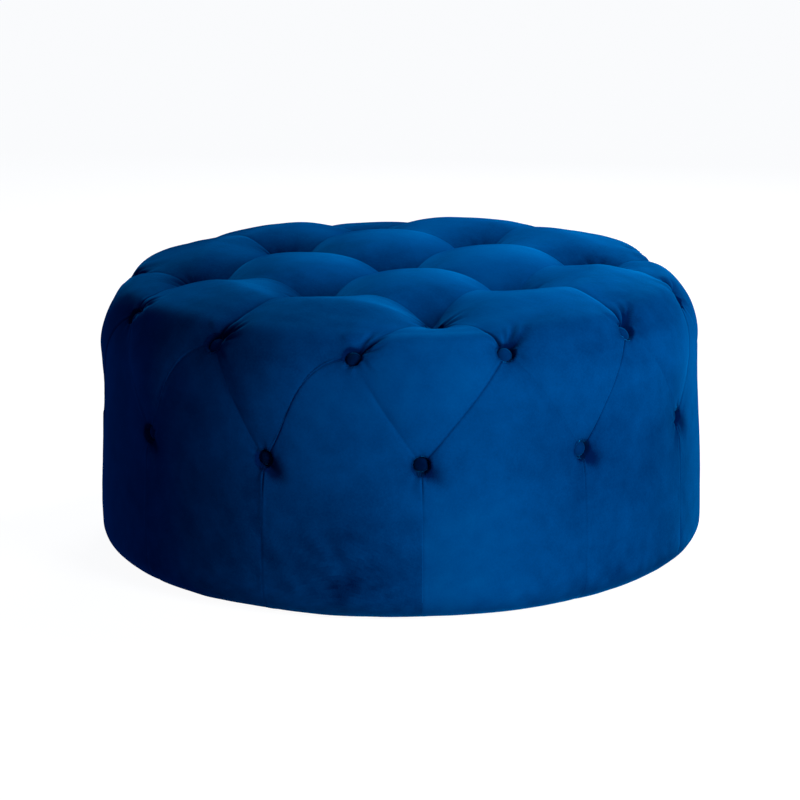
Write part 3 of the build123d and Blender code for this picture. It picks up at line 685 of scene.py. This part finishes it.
def velvet(name, dark, mid, light, use_tone=True, scale=1.0):
    m, nt, b = new_mat(name)
    L = nt.links.new
    co = node(nt, "ShaderNodeTexCoord")
    # nap: broad patches where the pile lies another way
    big = node(nt, "ShaderNodeTexNoise", Scale=7.5 * scale, Detail=3.0, Roughness=0.55, Distortion=0.6)
    L(co.outputs["Object"], big.inputs["Vector"])
    mid_n = node(nt, "ShaderNodeTexNoise", Scale=38.0 * scale, Detail=4.0, Roughness=0.6)
    L(co.outputs["Object"], mid_n.inputs["Vector"])
    pile = node(nt, "ShaderNodeTexNoise", Scale=1500.0, Detail=2.0, Roughness=0.7)
    L(co.outputs["Object"], pile.inputs["Vector"])
    tuft = node(nt, "ShaderNodeTexNoise", Scale=330.0, Detail=2.0, Roughness=0.6)   # small tufts of pile, 3 mm
    L(co.outputs["Object"], tuft.inputs["Vector"])
    def add(value, weight, last):
        """last + weight * (value - 0.5)"""
        n = node(nt, "ShaderNodeMath", operation="MULTIPLY_ADD")
        L(value, n.inputs[0]); n.inputs[1].default_value = weight
        o = node(nt, "ShaderNodeMath", operation="SUBTRACT")
        if last is None:
            n.inputs[2].default_value = 0.5
        else:
            L(last, n.inputs[2])
        L(n.outputs[0], o.inputs[0]); o.inputs[1].default_value = weight * 0.5
        return o.outputs[0]
    last = add(big.outputs["Fac"], 0.42, None)
    last = add(mid_n.outputs["Fac"], 0.27, last)
    last = add(pile.outputs["Fac"], 0.25, last)
    last = add(tuft.outputs["Fac"], 0.2, last)
    if use_tone:
        # the face tone, which carries painted shade as well as the pile's tone
        at = node(nt, "ShaderNodeAttribute", attribute_name="tone")
        last = add(at.outputs["Fac"], 1.0, last)
    ramp = node(nt, "ShaderNodeValToRGB")
    mr = node(nt, "ShaderNodeMapRange")
    L(last, mr.inputs["Value"])
    L(mr.outputs["Result"], ramp.inputs["Fac"])
    e = ramp.color_ramp.elements
    e[0].position, e[0].color = 0.0, dark
    e[1].position, e[1].color = 1.0, light
    x = e.new(0.5); x.color = mid
    L(ramp.outputs["Color"], b.inputs["Base Color"])
    rr = node(nt, "ShaderNodeMapRange")
    rr.inputs["To Min"].default_value, rr.inputs["To Max"].default_value = 0.82, 0.66
    L(mr.outputs["Result"], rr.inputs["Value"])
    L(rr.outputs["Result"], b.inputs["Roughness"])
    bump = node(nt, "ShaderNodeBump", Strength=0.18, Distance=0.0006)
    L(pile.outputs["Fac"], bump.inputs["Height"])
    bump2 = node(nt, "ShaderNodeBump", Strength=0.16, Distance=0.004)
    L(mid_n.outputs["Fac"], bump2.inputs["Height"])
    L(bump.outputs["Normal"], bump2.inputs["Normal"])
    L(bump2.outputs["Normal"], b.inputs["Normal"])
    b.inputs["Specular IOR Level"].default_value = 0.0
    b.inputs["Sheen Weight"].default_value = 0.75
    b.inputs["Sheen Roughness"].default_value = 0.38
    b.inputs["Sheen Tint"].default_value = (0.0, 0.23, 0.66, 1.0)
    return m


M_VELVET = velvet("velvet_blue", srgb(0, 24, 70), srgb(0, 70, 134), srgb(0, 92, 160))
M_BUTTON = velvet("velvet_button", srgb(0, 26, 66), srgb(0, 40, 90), srgb(0, 54, 110), use_tone=False, scale=3.0)
# painted shade: the button covers use the cover's velvet painted darker, for the shade of their recesses
M_SHADED_BUTTON_COVER = velvet("velvet_button_cover_shaded", srgb(0, 18, 54), srgb(0, 40, 90), srgb(0, 58, 116), scale=3.0)


def wood(name, pale, deep, along, ring=26.0, edge=False):
    m, nt, b = new_mat(name)
    L = nt.links.new
    co = node(nt, "ShaderNodeTexCoord")
    mp = node(nt, "ShaderNodeMapping")
    sc = [1.0, 1.0, 1.0]
    sc["XYZ".index(along)] = 0.08
    mp.inputs["Scale"].default_value = sc
    L(co.outputs["Object"], mp.inputs["Vector"])
    n1 = node(nt, "ShaderNodeTexNoise", Scale=ring, Detail=5.0, Roughness=0.6, Distortion=1.4)
    L(mp.outputs["Vector"], n1.inputs["Vector"])
    n2 = node(nt, "ShaderNodeTexNoise", Scale=420.0, Detail=3.0, Roughness=0.7)
    L(mp.outputs["Vector"], n2.inputs["Vector"])
    ad = node(nt, "ShaderNodeMath", operation="MULTIPLY_ADD")
    L(n2.outputs["Fac"], ad.inputs[0]); ad.inputs[1].default_value = 0.3
    L(n1.outputs["Fac"], ad.inputs[2])
    last = ad.outputs[0]
    if edge:
        sep = node(nt, "ShaderNodeSeparateXYZ")
        L(co.outputs["Object"], sep.inputs[0])
        wv = node(nt, "ShaderNodeTexWave", wave_type="BANDS", bands_direction="Z", Scale=170.0, Distortion=0.6)
        L(co.outputs["Object"], wv.inputs["Vector"])
        geo = node(nt, "ShaderNodeNewGeometry")
        sp = node(nt, "ShaderNodeSeparateXYZ")
        L(geo.outputs["Normal"], sp.inputs[0])
        ab = node(nt, "ShaderNodeMath", operation="ABSOLUTE")
        L(sp.outputs["Z"], ab.inputs[0])
        inv = node(nt, "ShaderNodeMath", operation="SUBTRACT")
        inv.inputs[0].default_value = 1.0
        L(ab.outputs[0], inv.inputs[1])
        ml = node(nt, "ShaderNodeMath", operation="MULTIPLY")
        L(inv.outputs[0], ml.inputs[0]); L(wv.outputs["Fac"], ml.inputs[1])
        ad2 = node(nt, "ShaderNodeMath", operation="MULTIPLY_ADD")
        L(ml.outputs[0], ad2.inputs[0]); ad2.inputs[1].default_value = 0.3
        L(last, ad2.inputs[2])
        last = ad2.outputs[0]
    ramp = node(nt, "ShaderNodeValToRGB")
    ramp.color_ramp.elements[0].position, ramp.color_ramp.elements[0].color = 0.42, pale
    ramp.color_ramp.elements[1].position, ramp.color_ramp.elements[1].color = 0.9, deep
    L(last, ramp.inputs["Fac"])
    L(ramp.outputs["Color"], b.inputs["Base Color"])
    bump = node(nt, "ShaderNodeBump", Strength=0.12, Distance=0.0006)
    L(n2.outputs["Fac"], bump.inputs["Height"])
    L(bump.outputs["Normal"], b.inputs["Normal"])
    b.inputs["Roughness"].default_value = 0.62
    return m


def cloth(name, a, c, scale=900.0, rough=0.9):
    """Non-woven or woven plain cloth: crossed fibres with a soft mottle."""
    m, nt, b = new_mat(name)
    L = nt.links.new
    co = node(nt, "ShaderNodeTexCoord")
    n1 = node(nt, "ShaderNodeTexNoise", Scale=scale, Detail=3.0, Roughness=0.7, Distortion=1.2)
    L(co.outputs["Object"], n1.inputs["Vector"])
    n2 = node(nt, "ShaderNodeTexVoronoi", Scale=scale * 0.32, feature="DISTANCE_TO_EDGE")
    L(co.outputs["Object"], n2.inputs["Vector"])
    n3 = node(nt, "ShaderNodeTexNoise", Scale=14.0, Detail=3.0)
    L(co.outputs["Object"], n3.inputs["Vector"])
    ad = node(nt, "ShaderNodeMath", operation="MULTIPLY_ADD")
    L(n2.outputs["Distance"], ad.inputs[0]); ad.inputs[1].default_value = 0.9
    L(n1.outputs["Fac"], ad.inputs[2])
    ad2 = node(nt, "ShaderNodeMath", operation="MULTIPLY_ADD")
    L(n3.outputs["Fac"], ad2.inputs[0]); ad2.inputs[1].default_value = 0.4
    L(ad.outputs[0], ad2.inputs[2])
    ramp = node(nt, "ShaderNodeValToRGB")
    ramp.color_ramp.elements[0].position, ramp.color_ramp.elements[0].color = 0.45, a
    ramp.color_ramp.elements[1].position, ramp.color_ramp.elements[1].color = 1.1 if False else 1.0, c
    L(ad2.outputs[0], ramp.inputs["Fac"])
    L(ramp.outputs["Color"], b.inputs["Base Color"])
    bump = node(nt, "ShaderNodeBump", Strength=0.35, Distance=0.0005)
    L(ad.outputs[0], bump.inputs["Height"])
    L(bump.outputs["Normal"], b.inputs["Normal"])
    b.inputs["Roughness"].default_value = rough
    b.inputs["Specular IOR Level"].default_value = 0.2
    return m


def plastic(name, a, c):
    m, nt, b = new_mat(name)
    L = nt.links.new
    co = node(nt, "ShaderNodeTexCoord")
    n1 = node(nt, "ShaderNodeTexNoise", Scale=700.0, Detail=2.0)
    L(co.outputs["Object"], n1.inputs["Vector"])
    ramp = node(nt, "ShaderNodeValToRGB")
    ramp.color_ramp.elements[0].color, ramp.color_ramp.elements[1].color = a, c
    L(n1.outputs["Fac"], ramp.inputs["Fac"])
    L(ramp.outputs["Color"], b.inputs["Base Color"])
    bump = node(nt, "ShaderNodeBump", Strength=0.1, Distance=0.0003)
    L(n1.outputs["Fac"], bump.inputs["Height"])
    L(bump.outputs["Normal"], b.inputs["Normal"])
    b.inputs["Roughness"].default_value = 0.55
    return m


def steel(name):
    m, nt, b = new_mat(name)
    L = nt.links.new
    co = node(nt, "ShaderNodeTexCoord")
    n1 = node(nt, "ShaderNodeTexNoise", Scale=900.0, Detail=3.0)
    L(co.outputs["Object"], n1.inputs["Vector"])
    ramp = node(nt, "ShaderNodeValToRGB")
    ramp.color_ramp.elements[0].color, ramp.color_ramp.elements[1].color = (0.42, 0.42, 0.43, 1), (0.62, 0.62, 0.6, 1)
    L(n1.outputs["Fac"], ramp.inputs["Fac"])
    L(ramp.outputs["Color"], b.inputs["Base Color"])
    mr = node(nt, "ShaderNodeMapRange")
    mr.inputs["To Min"].default_value, mr.inputs["To Max"].default_value = 0.28, 0.5
    L(n1.outputs["Fac"], mr.inputs["Value"])
    L(mr.outputs["Result"], b.inputs["Roughness"])
    b.inputs["Metallic"].default_value = 1.0
    return m


M_PLY = wood("plywood", srgb(222, 190, 146), srgb(176, 134, 88), "X", edge=True)
M_PINE = wood("softwood", srgb(226, 192, 142), srgb(190, 142, 88), "Z", ring=34.0)
M_PINE_X = wood("softwood_x", srgb(226, 192, 142), srgb(190, 142, 88), "X", ring=34.0)
M_LINER = cloth("liner_cloth", srgb(58, 58, 62), srgb(112, 111, 112))
M_TWINE = cloth("twine", srgb(180, 170, 145), srgb(226, 218, 196), scale=2200.0)
M_GLIDE = plastic("glide_plastic", srgb(24, 24, 26), srgb(36, 36, 38))
M_STEEL = steel("zinc_steel")
by_slot = {"plywood": M_PLY, "softwood": M_PINE, "liner_cloth": M_LINER, "twine": M_TWINE,
           "glide_plastic": M_GLIDE, "steel": M_STEEL, "velvet": M_VELVET, "button_velvet": M_BUTTON}
slot_of = {s["node"]: s["material_slot"] for s in frame["record"]["subparts"]}


def paint(ob, mat):
    ob.data.materials.clear()
    ob.data.materials.append(mat)


FOAM = cloth("foam", srgb(214, 200, 160), srgb(240, 230, 196), scale=1400.0)
WAD = cloth("wadding", srgb(222, 222, 218), srgb(244, 244, 242), scale=700.0)
by_slot["foam"], by_slot["wadding"] = FOAM, WAD
for name, ob in frame["nodes"].items():
    mat = by_slot[slot_of[name]]
    if name in ("lid_cleat_front", "lid_cleat_back"):
        mat = M_PINE_X
    paint(ob, mat)


# ------------------------------------------------------------------ cloth under the base, in the well and under the lid
def sheet_from_grid(name, P, thick, mat):
    m, n = P.shape[:2]
    idx = np.arange(m * n).reshape(m, n)
    q = np.stack([idx[:-1, :-1], idx[:-1, 1:], idx[1:, 1:], idx[1:, :-1]], -1).reshape(-1, 4)
    me = bpy.data.meshes.new(name)
    me.from_pydata((P.reshape(-1, 3) * MM).tolist(), [], q.tolist())
    bm = bmesh.new(); bm.from_mesh(me)
    bmesh.ops.remove_doubles(bm, verts=bm.verts, dist=1e-6)
    bmesh.ops.recalc_face_normals(bm, faces=bm.faces)
    bm.to_mesh(me); bm.free()
    for p in me.polygons:
        p.use_smooth = True
    ob = bpy.data.objects.new(name, me)
    scene.collection.objects.link(ob)
    so = ob.modifiers.new("thickness", "SOLIDIFY")
    so.thickness, so.offset = thick * MM, 0.0
    paint(ob, mat)
    return ob


# dust cover: a disc, pulled tight at its staples and slack in between
nr, na = 26, 144
rr = 378.0 * np.sqrt(np.linspace(0.0, 1.0, nr))
aa = np.radians(np.linspace(0, 360, na + 1))
RR, AA = np.meshgrid(rr, aa, indexing="ij")
X, Y = RR * np.sin(AA), -RR * np.cos(AA)
pts = np.stack([X, Y, 0 * X], -1)
sag = -1.2 * (1 - (RR / 360.0) ** 2).clip(0, 1) + 0.35 * smooth_noise(pts.reshape(-1, 3), 120.0, 5).reshape(RR.shape) * (RR < 350)
pucker = 0.35 * np.cos(24 * (AA - math.radians(5))) * np.exp(-((RR - 366) / 26.0) ** 2)
for k in range(6):
    a = math.radians(41 + 60 * k)
    g = np.exp(-((X - 300 * math.sin(a)) ** 2 + (Y + 300 * math.cos(a)) ** 2) / 60.0 ** 2)
    sag = sag * (1 - g)
pts[..., 2] = 4.55 + sag - np.abs(pucker) * (RR < 377)
dust = sheet_from_grid("dust_cover_cloth", pts, 0.6, M_LINER)

# well liner: four walls and a floor of one cloth
W = 164.4
n = 24
u = np.linspace(-W, W, n + 1)
Z_WELL = Z_BASE + T_BASE + 0.6
zz = np.linspace(Z_WELL, 299.0, 22)
loop = []
for a, b in (((-W, -W), (W, -W)), ((W, -W), (W, W)), ((W, W), (-W, W)), ((-W, W), (-W, -W))):
    t = np.linspace(0, 1, n + 1)[:-1]
    loop += [(a[0] + (b[0] - a[0]) * x, a[1] + (b[1] - a[1]) * x) for x in t]
loop.append(loop[0])
loop = np.array(loop)
rows = []
for z in zz:
    P = np.concatenate([loop, np.full((len(loop), 1), z)], 1)
    w = 0.5 + 0.5 * smooth_noise(P * [1, 1, 0.35], 70.0, 21)
    edge = np.minimum(np.abs(np.abs(P[:, 0]) - W), np.abs(np.abs(P[:, 1]) - W))
    c = np.clip(np.minimum(W - np.minimum(np.abs(P[:, 0]), np.abs(P[:, 1])), 30) / 30, 0, 1)
    k = 1 - 1.3 / W * np.clip(w, 0, 1) * c * (Z_WELL < z < 298)
    P[:, 0] *= np.where(np.abs(np.abs(P[:, 0]) - W) < 0.01, k, 1)
    P[:, 1] *= np.where(np.abs(np.abs(P[:, 1]) - W) < 0.01, k, 1)
    rows.append(P)
walls = np.stack(rows)
floor_rows = []
for f in np.linspace(0.0, 1.0, 14):
    P = np.concatenate([loop * f, np.full((len(loop), 1), Z_WELL)], 1)
    P[:, 2] += 0.5 * (0.5 + 0.5 * smooth_noise(P, 110.0, 22)).clip(0, 1) * (1 - f ** 4)
    floor_rows.append(P)
liner = sheet_from_grid("well_liner_cloth", np.concatenate([np.stack(floor_rows), walls[1:]]), 0.6, M_LINER)

# backing cloth under the lid
g1 = np.linspace(-145.5, 145.5, 41)
GX, GY = np.meshgrid(g1, g1, indexing="ij")
B = np.stack([GX, GY, 0 * GX], -1)
e = np.clip((145.5 - np.maximum(np.abs(GX), np.abs(GY))) / 25.0, 0, 1)
B[..., 2] = 303.4 - 0.8 * e * (0.5 + 0.5 * smooth_noise(B.reshape(-1, 3), 90.0, 31).reshape(GX.shape)).clip(0, 1)
backing = sheet_from_grid("lid_backing_cloth", B, 0.5, M_LINER)

# pull tab: one ribbon folded into a loop, its two ends sewn to the lid's side
path = [(186.38, z) for z in np.linspace(308.0, 376.0, 13)]
path += [(186.62 - 1.5 * math.sin(2 * a) * 0.5 - 0.24 * math.cos(a), 377.0 + 7.0 * math.sin(a)) for a in np.linspace(0.0, math.pi, 15)[1:-1]]
path += [(186.86, z) for z in np.linspace(376.0, 308.0, 13)]
xs = TAB_X + np.linspace(-TAB_W / 2, TAB_W / 2, 9)
T = np.stack([np.stack([xs, np.full(9, y), np.full(9, z) - 0.8 * (np.abs(xs - TAB_X) / 12) ** 3 * (z > 376)], 1) for y, z in path])
tab = sheet_from_grid("lid_pull_loop", T, 0.36, M_BUTTON)

# ------------------------------------------------------------------ bodies; the CAD parts that the meshes stand in for are hidden
paint(base_upholstery, M_VELVET)
paint(lid_upholstery, M_VELVET)
for ob in (btn_side, btn_rim, btn_top, btn_lid):
    paint(ob, M_SHADED_BUTTON_COVER)
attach(base_upholstery, "base")
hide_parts("base_cover", "base_wadding", *["side_foam_%d" % k for k in range(1, 5)], *["rim_foam_%d" % k for k in range(1, 5)])
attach(lid_upholstery, "lid")
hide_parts("lid_cover", "lid_wadding", "lid_foam")
for ob, nodes_, body in ((btn_side, "side_buttons", "base"), (btn_rim, "rim_buttons", "base"), (btn_top, "top_buttons", "base"), (btn_lid, "lid_button", "lid")):
    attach(ob, body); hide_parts(nodes_)
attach(dust, "base"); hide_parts("dust_cover")
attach(liner, "base"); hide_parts("well_liner")
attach(backing, "lid"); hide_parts("lid_backing")
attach(tab, "lid"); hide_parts("lid_pull_tab")

# ------------------------------------------------------------------ floor, light, camera
fm, fnt, fb = new_mat("studio_floor")
co = node(fnt, "ShaderNodeTexCoord")
nz = node(fnt, "ShaderNodeTexNoise", Scale=0.8, Detail=2.0)
fnt.links.new(co.outputs["Object"], nz.inputs["Vector"])
rp = node(fnt, "ShaderNodeValToRGB")
rp.color_ramp.elements[0].color, rp.color_ramp.elements[1].color = (0.24, 0.24, 0.24, 1), (0.26, 0.26, 0.26, 1)
fnt.links.new(nz.outputs["Fac"], rp.inputs["Fac"])
fnt.links.new(rp.outputs["Color"], fb.inputs["Base Color"])
fb.inputs["Roughness"].default_value = 0.95
fb.inputs["Emission Color"].default_value = (1.0, 1.0, 1.0, 1.0)
fb.inputs["Emission Strength"].default_value = 0.95
fb.inputs["Specular IOR Level"].default_value = 0.0
me = bpy.data.meshes.new("studio_floor")
me.from_pydata([(-30, -30, 0), (30, -30, 0), (30, 30, 0), (-30, 30, 0)], [], [(0, 1, 2, 3)])
floor = bpy.data.objects.new("studio_floor", me)
scene.collection.objects.link(floor)
paint(floor, fm)
floor.visible_diffuse = False
# a plain pale dome closes the room behind the floor, for low views
bm = bmesh.new()
bmesh.ops.create_uvsphere(bm, u_segments=48, v_segments=24, radius=29.0)
bmesh.ops.delete(bm, geom=[v for v in bm.verts if v.co.z < -5.0], context="VERTS")
me = bpy.data.meshes.new("studio_backdrop")
bm.to_mesh(me); bm.free()
backdrop = bpy.data.objects.new("studio_backdrop", me)
scene.collection.objects.link(backdrop)
paint(backdrop, fm)
backdrop.visible_diffuse = backdrop.visible_glossy = backdrop.visible_transmission = backdrop.visible_shadow = False

ahead = Vector((-math.sin(CAM_AZ), math.cos(CAM_AZ), 0))
right = Vector((math.cos(CAM_AZ), math.sin(CAM_AZ), 0))


def cam_frame(x, y, z):
    """Right, away and up of the photo's camera to the frame's axes."""
    return right * x + ahead * y + Vector((0, 0, z))


world = bpy.data.worlds.new("studio")
scene.world = world
world.use_nodes = True
bg = world.node_tree.nodes["Background"]
bg.inputs["Color"].default_value = (0.1, 0.42, 1.0, 1.0)
bg.inputs["Strength"].default_value = 0.115


def area(name, pos, aim, size, power, color=(1, 1, 1)):
    d = bpy.data.lights.new(name, "AREA")
    d.shape, d.size, d.energy, d.color = "DISK", size, power, color
    o = bpy.data.objects.new(name, d)
    o.location = cam_frame(*pos)
    o.rotation_mode = "QUATERNION"
    o.rotation_quaternion = (cam_frame(*aim) - o.location).to_track_quat("-Z", "Y")
    scene.collection.objects.link(o)
    return o


# a gridded softbox behind and above the right-hand side, whose light fades towards the left, a larger one low at the front right, and a weak one at the back
key = bpy.data.lights.new("key_softbox", "SPOT")
key.energy, key.shadow_soft_size, key.spot_size, key.spot_blend = 132.0, 0.6, math.radians(52.0), 1.0
key_ob = bpy.data.objects.new("key_softbox", key)
key_ob.location = cam_frame(0.80, 0.40, 1.20)
key_ob.rotation_mode = "QUATERNION"
key_ob.rotation_quaternion = (cam_frame(0.30, 0.06, 0.38) - key_ob.location).to_track_quat("-Z", "Y")
scene.collection.objects.link(key_ob)
area("side_softbox", (1.40, -1.90, 0.60), (0.0, 0.0, 0.2), 1.0, 44.0)
area("back_softbox", (0.30, 2.20, 1.35), (0.0, 0.1, 0.3), 1.2, 18.0)

cam = bpy.data.cameras.new("photo_camera")
cam.sensor_width, cam.lens = 36.0, 3721.0 / 800.0 * 36.0
cam.clip_start, cam.clip_end = 0.05, 100.0
co_ = bpy.data.objects.new("photo_camera", cam)
D, EL = 5.401, math.radians(16.59)
co_.location = cam_frame(0, -D * math.cos(EL), D * math.sin(EL))
co_.rotation_mode = "QUATERNION"
look = (cam_frame(-0.0009, 0, 0.2038) - co_.location).to_track_quat("-Z", "Y")
co_.rotation_quaternion = look @ Quaternion((0, 0, 1), -0.0057)
scene.collection.objects.link(co_)
scene.camera = co_
scene.view_settings.view_transform = "Standard"
scene.view_settings.look = "None"

bpy.context.view_layer.update()
